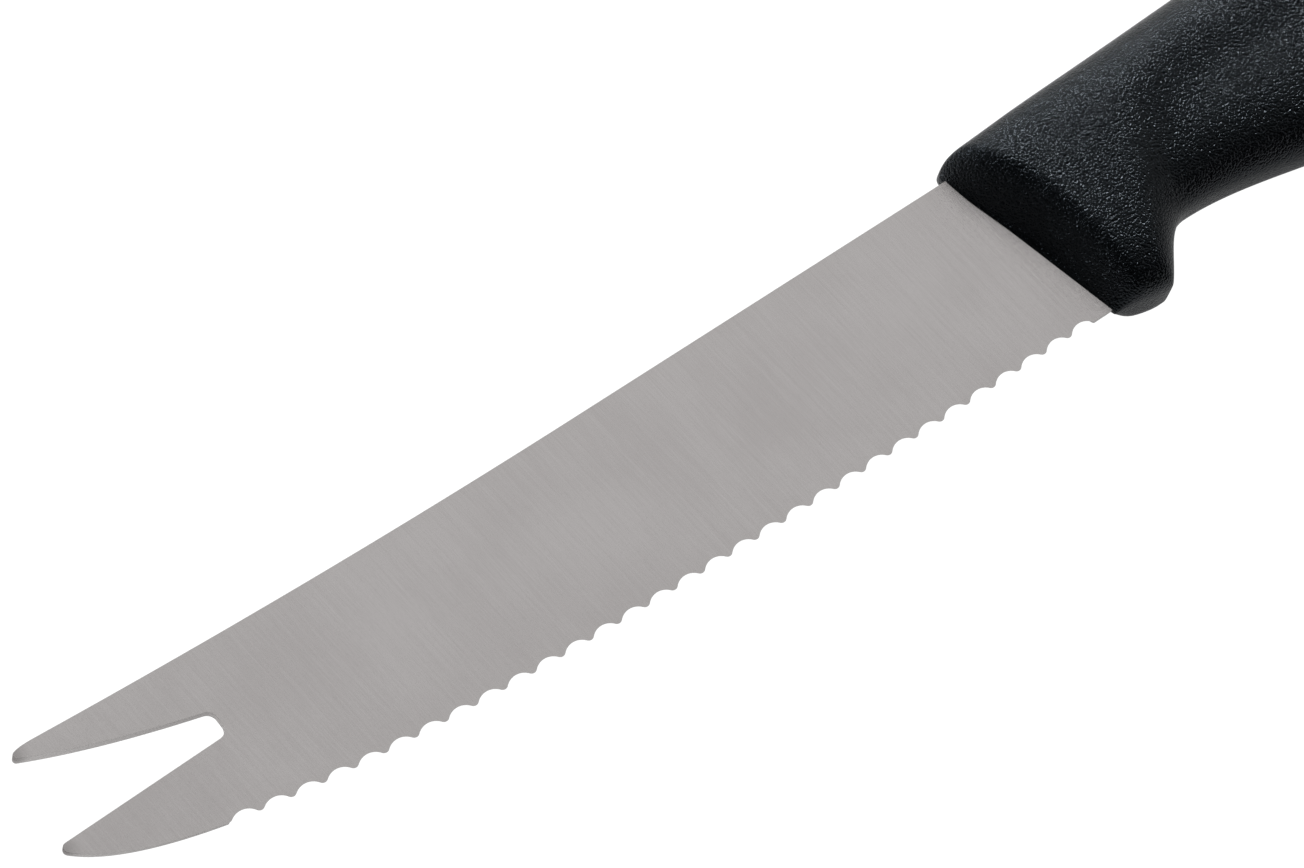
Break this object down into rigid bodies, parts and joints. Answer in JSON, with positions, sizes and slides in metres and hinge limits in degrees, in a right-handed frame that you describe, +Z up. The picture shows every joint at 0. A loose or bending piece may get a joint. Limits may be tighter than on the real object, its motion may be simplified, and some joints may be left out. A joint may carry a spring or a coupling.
{
  "type": "cheese and sausage knife",
  "caption": "Kitchen knife with a forked tip and a fine wave edge, its stamped blade held in a moulded plastic handle.",
  "frame": {"origin": "middle of the knife's box, on the surface that its handle lies on", "axes": "+X along the knife to the butt of the handle, +Y across the blade to its spine, +Z up out of the blade's plain face"},
  "size_m": [0.218, 0.025, 0.013],
  "materials": {
    "ground_steel": "fine-ground satin stainless steel, with the grinding lines across the blade",
    "black_plastic": "black polypropylene with a fine moulded grain"
  },
  "bodies": {
    "root": {"blade": "ground_steel", "handle": "black_plastic"}
  },
  "joints": []
}
